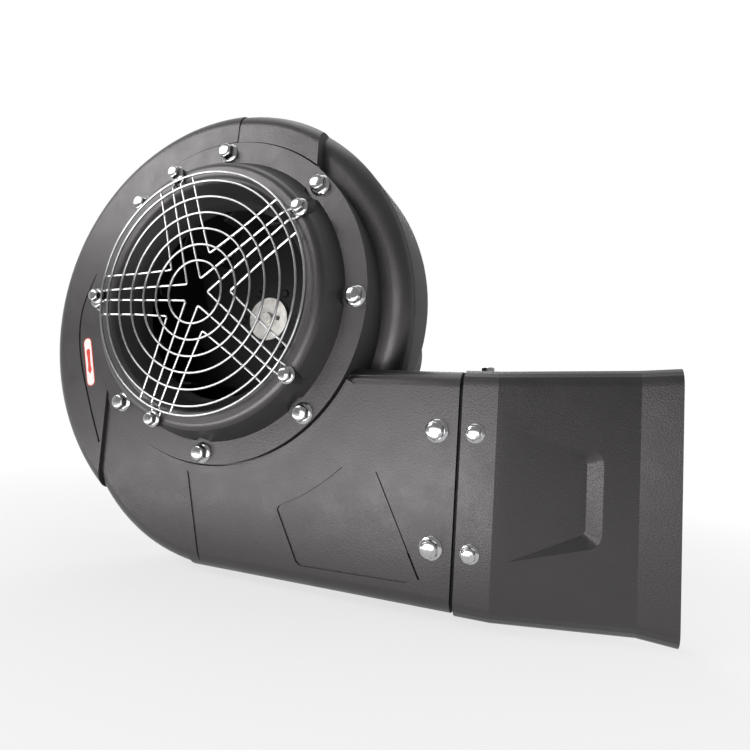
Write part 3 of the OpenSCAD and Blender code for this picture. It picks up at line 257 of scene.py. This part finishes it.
# Gap in mm that is welded, and the angle in degrees below which faces count as one flat
WELD_GAP, FLAT_ANGLE = 0.01, 0.3


def soften(obj, bevel, angle):
    """Welds a CAD node's faces, rounds its sharp edges if asked and shades the others smooth."""
    for face in obj.data.polygons:
        face.use_smooth = True
    weld = obj.modifiers.new("weld", "WELD")
    weld.merge_threshold = WELD_GAP * MM
    if bevel:
        flat = obj.modifiers.new("flat", "DECIMATE")
        flat.decimate_type = "DISSOLVE"
        flat.angle_limit = math.radians(FLAT_ANGLE)
        edge = obj.modifiers.new("edge", "BEVEL")
        edge.width = bevel * MM
        edge.segments = BEVEL_STEPS
        edge.limit_method = "ANGLE"
        edge.angle_limit = math.radians(angle)
        edge.use_clamp_overlap = True
        edge.harden_normals = False
    split = obj.modifiers.new("split", "EDGE_SPLIT")
    split.split_angle = math.radians(BEVELLED_SPLIT if bevel else angle)
    normals = obj.modifiers.new("normals", "WEIGHTED_NORMAL")
    normals.keep_sharp = True


for part in frame["record"]["subparts"]:
    obj = nodes[part["node"]]
    obj.data.materials.clear()
    finish = SLOT_MATERIALS[part["material_slot"]]
    obj.data.materials.append(NODE_MATERIALS.get(part["node"], finish))
    soften(obj, *BEVELLED.get(part["node"], UNBEVELLED))


def link_piece(name, data, material):
    """A new object of the scene with one material."""
    data.materials.append(material)
    obj = bpy.data.objects.new(name, data)
    scene.collection.objects.link(obj)
    return obj


# Wire guard, in mm: one closed star wire round the five bolts and a V wire between each two arms
ARMS, ARM_PHASE = 5, 36.0
HALF_STEP = math.pi / ARMS
WIRE_R = 1.2
GUARD_R, GUARD_BOLT_R = 126.4, 138.6
CROWN_Z, SPOKE_Z = 197.0, 202.9
EYE_R, EYE_Z, EYE_STEPS = 5.6, CROWN_Z + WIRE_R, 16
# Each wire bends a little partway along its arm; the star then steps down to its eyes on the crown
BEND_X, BEND_ROUND = 76.0, 30.0
STAR_CORNER_R, STAR_ROUND, STAR_BEND_Y = 14.5, 2.2, 6.6
STEP_X, STEP_Y, STEP_ROUND = 122.6, EYE_R - 0.2, 3.5
LANDING_X, LANDING_ROUND = 129.3, 2.5
VEE_CORNER_R, VEE_ROUND, VEE_BEND_Y, VEE_END_Y = 42.0, 2.4, 22.3, 21.4
WIRE_RESOLUTION = 4
# Steps of a rounded corner, and the most that it may take of the straight on either side
CORNER_STEPS, LEG_SHARE = 6, 0.48


def curve_piece(name, wires, radius, material):
    """Round wires as one curve object; each wire is its points and whether it is closed."""
    data = bpy.data.curves.new(name, "CURVE")
    data.dimensions = "3D"
    data.bevel_depth = radius
    data.bevel_resolution = WIRE_RESOLUTION
    data.use_fill_caps = True
    for path, closed in wires:
        spline = data.splines.new("POLY")
        spline.points.add(len(path) - 1)
        for point, place in zip(spline.points, path):
            point.co = (*place, 1)
        spline.use_cyclic_u = closed
        spline.use_smooth = True
    return link_piece(name, data, material)


def rounded(points, radii, closed):
    """The points with a curve at each corner, where an arc of its radius would start and end."""
    made = []
    count = len(points)
    for i, place in enumerate(points):
        if radii[i] == 0 or (not closed and i in (0, count - 1)):
            made.append(place)
            continue
        to_last = points[i - 1] - place
        to_next = points[(i + 1) % count] - place
        half = to_last.angle(to_next) / 2
        reach = min(radii[i] / math.tan(half), LEG_SHARE * to_last.length,
                    LEG_SHARE * to_next.length)
        start = place + to_last.normalized() * reach
        end = place + to_next.normalized() * reach
        for k in range(CORNER_STEPS + 1):
            t = k / CORNER_STEPS
            made.append(start * (1 - t) ** 2 + place * 2 * t * (1 - t) + end * t * t)
    return made


def on_arm(arm, x, y, z):
    """A point given along and across one arm of the guard."""
    a = math.radians(ARM_PHASE - arm * 360 / ARMS)
    return at(x * math.cos(a) - y * math.sin(a), x * math.sin(a) + y * math.cos(a), z)


def star_wire():
    """Out along one side of each arm, round its bolt and back along the other side."""
    corner = (STAR_CORNER_R * math.cos(HALF_STEP), STAR_CORNER_R * math.sin(HALF_STEP), SPOKE_Z)
    leg = [(BEND_X, STAR_BEND_Y, SPOKE_Z, BEND_ROUND), (STEP_X, STEP_Y, SPOKE_Z, STEP_ROUND),
           (LANDING_X, EYE_R, EYE_Z, LANDING_ROUND)]
    points, radii = [], []
    for arm in range(ARMS):
        for x, y, z, r in [(*corner, STAR_ROUND)] + leg:
            points.append(on_arm(arm, x, y, z))
            radii.append(r * MM)
        for k in range(EYE_STEPS + 1):
            a = math.pi / 2 - math.pi * k / EYE_STEPS
            points.append(on_arm(arm, GUARD_BOLT_R + EYE_R * math.cos(a), EYE_R * math.sin(a),
                                 EYE_Z))
            radii.append(0)
        for x, y, z, r in reversed(leg):
            points.append(on_arm(arm, x, -y, z))
            radii.append(r * MM)
    return rounded(points, radii, True)


def vee_wire(arm):
    """From the outer ring in along one arm and out again along the next."""
    end_x = math.sqrt(GUARD_R ** 2 - VEE_END_Y ** 2)
    points = [on_arm(arm, end_x, -VEE_END_Y, SPOKE_Z),
              on_arm(arm, BEND_X, -VEE_BEND_Y, SPOKE_Z),
              on_arm(arm, VEE_CORNER_R * math.cos(HALF_STEP), -VEE_CORNER_R * math.sin(HALF_STEP),
                     SPOKE_Z),
              on_arm(arm + 1, BEND_X, VEE_BEND_Y, SPOKE_Z),
              on_arm(arm + 1, end_x, VEE_END_Y, SPOKE_Z)]
    return rounded(points, [0, BEND_ROUND * MM, VEE_ROUND * MM, BEND_ROUND * MM, 0], False)


guard_wires = [(star_wire(), True)] + [(vee_wire(arm), False) for arm in range(ARMS)]
# The spoke wires take the chrome's brighter copy, whose extra brightness is painted light
spokes = curve_piece("guard_spoke_wires", guard_wires, WIRE_R * MM, painted_light_wire)
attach(spokes, "housing")
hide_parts("guard_spokes")

# Hex flange bolts with a domed head, each group in place of its node; threads and lengths in mm
BIG_THREAD, SMALL_THREAD = 10.0, 8.0
RING_LENGTH, GUARD_LENGTH, NECK_LENGTH, NOZZLE_LENGTH = 26.0, 16.0, 18.0, 18.5
RING_BOLTS, RING_BOLT_R, FLANGE_Z = 8, 164.3, 170.0
OUTLET_BOLT_PITCH = 104.0
BOLT_STEPS, BOLT_SPLIT = 48, 28.0
# Sizes of a bolt in shares of its thread
SHANK_R, POINT_R, POINT_H = 0.5, 0.42, 0.08
SKIRT_R, CORNER_R, FLAT_R = 1.09, 0.865, 0.749
HEAD_H, DOME_H = 0.95, 0.085
RIM_R = 0.82 * CORNER_R
# Profile of the head from its seat to its dome: radius, height and whether that level is six-sided
HEAD_PROFILE = [
    (SKIRT_R - 0.02, 0.0, False), (SKIRT_R, 0.03, False), (SKIRT_R, 0.08, False),
    (SKIRT_R - 0.03, 0.115, False), (0.88, 0.235, False), (0.84, 0.26, True),
    (CORNER_R, 0.30, True), (CORNER_R, HEAD_H - 0.15, True),
    (0.92 * CORNER_R, HEAD_H - 0.07, True), (RIM_R, HEAD_H, True),
    (0.94 * RIM_R, HEAD_H + 0.022, False), (0.70 * RIM_R, HEAD_H + 0.055, False),
    (0.38 * RIM_R, HEAD_H + 0.078, False),
]


def bolt_levels(d, length):
    """Levels of a bolt from the end of its shank to its dome, in mm."""
    shank = [(POINT_R * d, -length, False), (SHANK_R * d, POINT_H * d - length, False),
             (SHANK_R * d, 0.0, False)]
    return shank + [(radius * d, z * d, hexagon) for radius, z, hexagon in HEAD_PROFILE]


def add_bolt(built, d, length, place, axis):
    """One bolt with its seat at place and its head along axis, both in the front view."""
    turn = Vector(FRONT).rotation_difference(Vector(axis))

    def spot(x, y, z):
        return built.verts.new(at(*(Vector(place) + turn @ Vector((x, y, z)))))

    rows = []
    for radius, z, hexagon in bolt_levels(d, length):
        row = []
        for k in range(BOLT_STEPS):
            a = 2 * math.pi * k / BOLT_STEPS
            flat = FLAT_R * d / math.cos((a + math.pi / 6) % (math.pi / 3) - math.pi / 6)
            r = min(radius, flat) if hexagon else radius
            row.append(spot(r * math.cos(a), r * math.sin(a), z))
        rows.append(row)
    for low, high in zip(rows, rows[1:]):
        for k in range(BOLT_STEPS):
            m = (k + 1) % BOLT_STEPS
            built.faces.new((low[k], low[m], high[m], high[k]))
    built.faces.new(list(reversed(rows[0])))
    crown = spot(0, 0, (HEAD_H + DOME_H) * d)
    for k in range(BOLT_STEPS):
        built.faces.new((rows[-1][k], rows[-1][(k + 1) % BOLT_STEPS], crown))


def bolt_piece(name, replaced, d, length, seats):
    """A group of equal bolts as one piece; each seat is the bolt's place and axis."""
    built = bmesh.new()
    for place, axis in seats:
        add_bolt(built, d, length, place, axis)
    bmesh.ops.recalc_face_normals(built, faces=built.faces)
    for face in built.faces:
        face.smooth = True
    mesh = bpy.data.meshes.new(name)
    built.to_mesh(mesh)
    built.free()
    obj = link_piece(name, mesh, chrome)
    split = obj.modifiers.new("split", "EDGE_SPLIT")
    split.split_angle = math.radians(BOLT_SPLIT)
    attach(obj, "housing")
    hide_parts(replaced)


def circle_seats(count, radius, phase, z):
    """Seats on a circle about the shaft, for heads that look to the front."""
    angles = [math.radians(phase + 360 * k / count) for k in range(count)]
    return [((radius * math.cos(a), radius * math.sin(a), z), FRONT) for a in angles]


def front_box(name):
    """A node's low and high corners in the front view, in mm."""
    low, high = (Vector(v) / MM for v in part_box(name))
    return (Vector((low.x, low.z - SHAFT_H, -high.y - FEET_MID)),
            Vector((high.x, high.z - SHAFT_H, -low.y - FEET_MID)))


def outlet_seats(name, d, mid_y):
    """Two seats on the front of the outlet and two on its back, from the box of their node."""
    low, high = front_box(name)
    levels = [(high.z - HEAD_H * d, FRONT), (low.z + HEAD_H * d, BACK)]
    return [(((low.x + high.x) / 2, mid_y + side * OUTLET_BOLT_PITCH / 2, z), axis)
            for side in (-1, 1) for z, axis in levels]


def edge_seats(name, d):
    """A seat on the top of the outlet and one below it, from the box of their node."""
    low, high = front_box(name)
    x, z = (low.x + high.x) / 2, (low.z + high.z) / 2
    return [((x, high.y - HEAD_H * d, z), UP), ((x, low.y + HEAD_H * d, z), DOWN)]


neck_low, neck_high = front_box("neck_bolts")
outlet_mid = (neck_low.y + neck_high.y) / 2
bolt_piece("ring_flange_bolts", "ring_bolts", BIG_THREAD, RING_LENGTH,
           circle_seats(RING_BOLTS, RING_BOLT_R, 0, FLANGE_Z))
bolt_piece("guard_flange_bolts", "guard_bolts", SMALL_THREAD, GUARD_LENGTH,
           circle_seats(ARMS, GUARD_BOLT_R, ARM_PHASE, CROWN_Z + 2 * WIRE_R))
bolt_piece("neck_flange_bolts", "neck_bolts", BIG_THREAD, NECK_LENGTH,
           outlet_seats("neck_bolts", BIG_THREAD, outlet_mid))
bolt_piece("nozzle_flange_bolts", "nozzle_bolts", SMALL_THREAD, NOZZLE_LENGTH,
           outlet_seats("nozzle_bolts", SMALL_THREAD, outlet_mid)
           + edge_seats("nozzle_bolts", SMALL_THREAD))

# Sticker on the left face, in mm: a white pill with a red edge and a plain red stroke
LEFT_FACE_Z = 168.0
PILL_TOP, PILL_LOW = Vector((-185.0, -42.8)), Vector((-170.0, -99.5))
PILL_WAY = (PILL_LOW - PILL_TOP).normalized()
PILL_INSET, PILL_STEPS = 6.0, 12
EDGE_R, FIELD_R = 6.4, 5.3
# How far the edge is sunk into the face, and how far each layer stands proud of it
EDGE_SINK, EDGE_RISE, FIELD_RISE, STROKE_RISE = 0.1, 0.16, 0.20, 0.24
# One side of the stroke, along and across the pill, and the place of its tip along the pill
STROKE_SIDE = [(-16, 1.6), (-13, 3.0), (-6, 2.2), (4, 2.0), (10, 2.9)]
STROKE_TIP = 15
LABEL = {"rough": (0.55, 0.65), "grain": 400.0, "depth": 0.00001}


def flat_piece(name, outline, low, high, material):
    """A thin plate on the front face, given by its outline in the front view."""
    mesh = bpy.data.meshes.new(name)
    count = len(outline)
    places = [at(x, y, z) for z in (low, high) for x, y in outline]
    faces = [tuple(range(count, 2 * count)), tuple(reversed(range(count)))]
    faces += [(k, (k + 1) % count, count + (k + 1) % count, count + k) for k in range(count)]
    mesh.from_pydata(places, [], faces)
    built = bmesh.new()
    built.from_mesh(mesh)
    bmesh.ops.recalc_face_normals(built, faces=built.faces)
    built.to_mesh(mesh)
    built.free()
    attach(link_piece(name, mesh, material), "housing")


def pill(radius):
    """The outline of the pill with ends of the given radius."""
    base = math.atan2(-PILL_WAY.y, -PILL_WAY.x)
    ends = [(PILL_TOP + PILL_WAY * PILL_INSET, base),
            (PILL_LOW - PILL_WAY * PILL_INSET, base + math.pi)]
    outline = []
    for end, turn in ends:
        for k in range(PILL_STEPS + 1):
            a = turn - math.pi / 2 + math.pi * k / PILL_STEPS
            outline.append((end.x + radius * math.cos(a), end.y + radius * math.sin(a)))
    return outline


def stroke():
    """The outline of the stroke, both sides alike, in the middle of the pill."""
    across = Vector((-PILL_WAY.y, PILL_WAY.x))
    mid = (PILL_TOP + PILL_LOW) / 2
    points = [(u, -v) for u, v in STROKE_SIDE] + [(STROKE_TIP, 0)] + STROKE_SIDE[::-1]
    return [tuple(mid + PILL_WAY * u + across * v) for u, v in points]


label_white = plastic("label_white", (0.66, 0.645, 0.63), (0.71, 0.695, 0.68), **LABEL)
label_red = plastic("label_red", (0.52, 0.035, 0.018), (0.60, 0.05, 0.025), **LABEL)
flat_piece("sticker_edge", pill(EDGE_R), LEFT_FACE_Z - EDGE_SINK, LEFT_FACE_Z + EDGE_RISE,
           label_red)
flat_piece("sticker_field", pill(FIELD_R), LEFT_FACE_Z, LEFT_FACE_Z + FIELD_RISE, label_white)
flat_piece("sticker_stroke", stroke(), LEFT_FACE_Z, LEFT_FACE_Z + STROKE_RISE, label_red)

# Camera at the photograph's viewpoint: angles in radians, place in metres
CAMERA_PLACE = (0.36963, -0.76680, -0.01856)
YAW, PITCH, ROLL = 0.3701, -0.0814, 0.0648
FOCAL_PX, IMAGE_PX = 530.77, 750.0
SENSOR_MM = 36.0
SHIFT_Y = 0.0025
CLIP_START = 0.01


def add_camera():
    forward = Vector((-math.sin(YAW) * math.cos(PITCH), math.cos(YAW) * math.cos(PITCH),
                      -math.sin(PITCH)))
    level = Vector((math.cos(YAW), math.sin(YAW), 0))
    upright = level.cross(forward)
    right = level * math.cos(ROLL) + upright * math.sin(ROLL)
    up = upright * math.cos(ROLL) - level * math.sin(ROLL)
    camera = bpy.data.objects.new("camera", bpy.data.cameras.new("camera"))
    scene.collection.objects.link(camera)
    camera.data.sensor_width = SENSOR_MM
    camera.data.lens = SENSOR_MM * FOCAL_PX / IMAGE_PX
    camera.data.shift_y = SHIFT_Y
    camera.data.clip_start = CLIP_START
    placed = Matrix((right, up, -forward)).transposed().to_4x4()
    placed.translation = Vector(CAMERA_PLACE)
    camera.matrix_world = placed
    scene.camera = camera


add_camera()

# Floor and room, in metres: they look white on the backdrop's side and grey on the other
WHITE = (1, 1, 1, 1)
BACKDROP_SIDE = (-0.36, 0.93, 0.0)
BACKDROP_BLEND = 0.6
ROOM_GREY = 0.36
# Level at which the room lights the object
ROOM_LEVEL = 0.15
FLOOR_Z = -0.1935
FLOOR_HALF = 9.0
FLOOR_COLOUR = (0.86, 0.86, 0.86, 1)
# Share of pure white in the floor near the object, where the rest keeps the shadow
NEAR_WHITE = 0.72
# Reach from the middle over which that share grows to 1, and from which the floor fades to the room
SHADOW_SPAN = (0.35, 0.95)
ROOM_START = 0.9


def sees_background(tree):
    """1 for the rays that see the white background: from the camera, a mirror or clear glass."""
    path = node(tree, "ShaderNodeLightPath")
    value = path.outputs["Is Camera Ray"]
    for name in ("Is Glossy Ray", "Is Transmission Ray"):
        either = node(tree, "ShaderNodeMath", operation="MAXIMUM")
        tree.links.new(value, either.inputs[0])
        tree.links.new(path.outputs[name], either.inputs[1])
        value = either.outputs[0]
    return value


def room_tone(tree, direction):
    """White on the backdrop's side of the scene and the room's grey on the other."""
    toward = node(tree, "ShaderNodeVectorMath", operation="DOT_PRODUCT")
    toward.inputs[1].default_value = BACKDROP_SIDE
    tree.links.new(direction, toward.inputs[0])
    tone = node(tree, "ShaderNodeMapRange", interpolation_type="SMOOTHSTEP",
                From_Min=-BACKDROP_BLEND, From_Max=BACKDROP_BLEND, To_Min=ROOM_GREY, To_Max=1.0)
    tree.links.new(toward.outputs["Value"], tone.inputs["Value"])
    return tone.outputs["Result"]


def mixed(tree, share, first, second, out):
    """Joins two shaders by a share and makes them the surface of the output node."""
    mix = node(tree, "ShaderNodeMixShader")
    tree.links.new(share, mix.inputs["Fac"])
    tree.links.new(first.outputs[0], mix.inputs[1])
    tree.links.new(second.outputs[0], mix.inputs[2])
    tree.links.new(mix.outputs[0], out.inputs["Surface"])


def white_floor():
    """A pale matt floor that is seen as white, and that fades to the room's tone far away."""
    mat = bpy.data.materials.new("floor_white")
    mat.use_nodes = True
    tree = mat.node_tree
    tree.nodes.clear()
    place = coords(tree, (1, 1, 0))
    reach = node(tree, "ShaderNodeVectorMath", operation="LENGTH")
    tree.links.new(place, reach.inputs[0])
    way = node(tree, "ShaderNodeVectorMath", operation="NORMALIZE")
    tree.links.new(place, way.inputs[0])
    far = node(tree, "ShaderNodeMapRange", From_Min=ROOM_START, From_Max=FLOOR_HALF)
    tree.links.new(reach.outputs["Value"], far.inputs["Value"])
    tone = node(tree, "ShaderNodeMix", data_type="RGBA")
    tone.inputs["A"].default_value = WHITE
    tree.links.new(far.outputs["Result"], tone.inputs["Factor"])
    tree.links.new(room_tone(tree, way.outputs["Vector"]), tone.inputs["B"])
    glow = node(tree, "ShaderNodeEmission", Strength=1.0)
    tree.links.new(tone.outputs["Result"], glow.inputs["Color"])
    seen = node(tree, "ShaderNodeMath", operation="MULTIPLY")
    tree.links.new(sees_background(tree), seen.inputs[0])
    tree.links.new(ramp(tree, reach.outputs["Value"], NEAR_WHITE, 1.0, *SHADOW_SPAN),
                   seen.inputs[1])
    diffuse = node(tree, "ShaderNodeBsdfDiffuse", Color=FLOOR_COLOUR)
    mixed(tree, seen.outputs[0], diffuse, glow, node(tree, "ShaderNodeOutputMaterial"))
    return mat


def add_floor():
    mesh = bpy.data.meshes.new("floor")
    corners = [(-1, -1), (1, -1), (1, 1), (-1, 1)]
    mesh.from_pydata([(x * FLOOR_HALF, y * FLOOR_HALF, FLOOR_Z) for x, y in corners], [],
                     [(0, 1, 2, 3)])
    link_piece("floor", mesh, white_floor())


def add_room():
    world = bpy.data.worlds.new("world")
    scene.world = world
    world.use_nodes = True
    tree = world.node_tree
    tree.nodes.clear()
    dim = node(tree, "ShaderNodeBackground", Color=WHITE, Strength=ROOM_LEVEL)
    seen = node(tree, "ShaderNodeBackground", Strength=1.0)
    way = node(tree, "ShaderNodeTexCoord").outputs["Generated"]
    tree.links.new(room_tone(tree, way), seen.inputs["Color"])
    mixed(tree, sees_background(tree), dim, seen, node(tree, "ShaderNodeOutputWorld"))


add_floor()
add_room()

# Lamps: name, place and target in metres, width and height in metres, power in watts
LAMPS = [
    ("key_light", (-0.97, -1.33, 0.88), (-0.02, -0.32, 0.22), 1.1, 0.6, 10.4),
    ("floor_light", (-0.24, -0.86, -0.185), (-0.24, -0.858, 0.5), 1.0, 0.5, 8.4),
    ("low_light", (0.17, -1.25, -0.04), (0.2, -0.3, -0.06), 0.9, 0.28, 1.9),
    ("top_light", (-0.1, -0.2, 1.6), (0.1, -0.2, 0.0), 1.2, 0.9, 4),
    ("back_light", (-0.7, 1.7, 1.1), (0.1, 0.0, 0.0), 1.5, 1.0, 30),
]


def softbox(name, place, target, width, height, power):
    """A rectangular lamp that looks at its target and that the camera doesn't see."""
    light = bpy.data.lights.new(name, "AREA")
    light.shape = "RECTANGLE"
    light.size, light.size_y = width, height
    light.energy = power
    obj = bpy.data.objects.new(name, light)
    scene.collection.objects.link(obj)
    obj.visible_camera = False
    place, target = Vector(place), Vector(target)
    obj.matrix_world = (Matrix.Translation(place)
                        @ (target - place).to_track_quat("-Z", "Y").to_matrix().to_4x4())


for lamp in LAMPS:
    softbox(*lamp)

scene.view_settings.view_transform = "Standard"
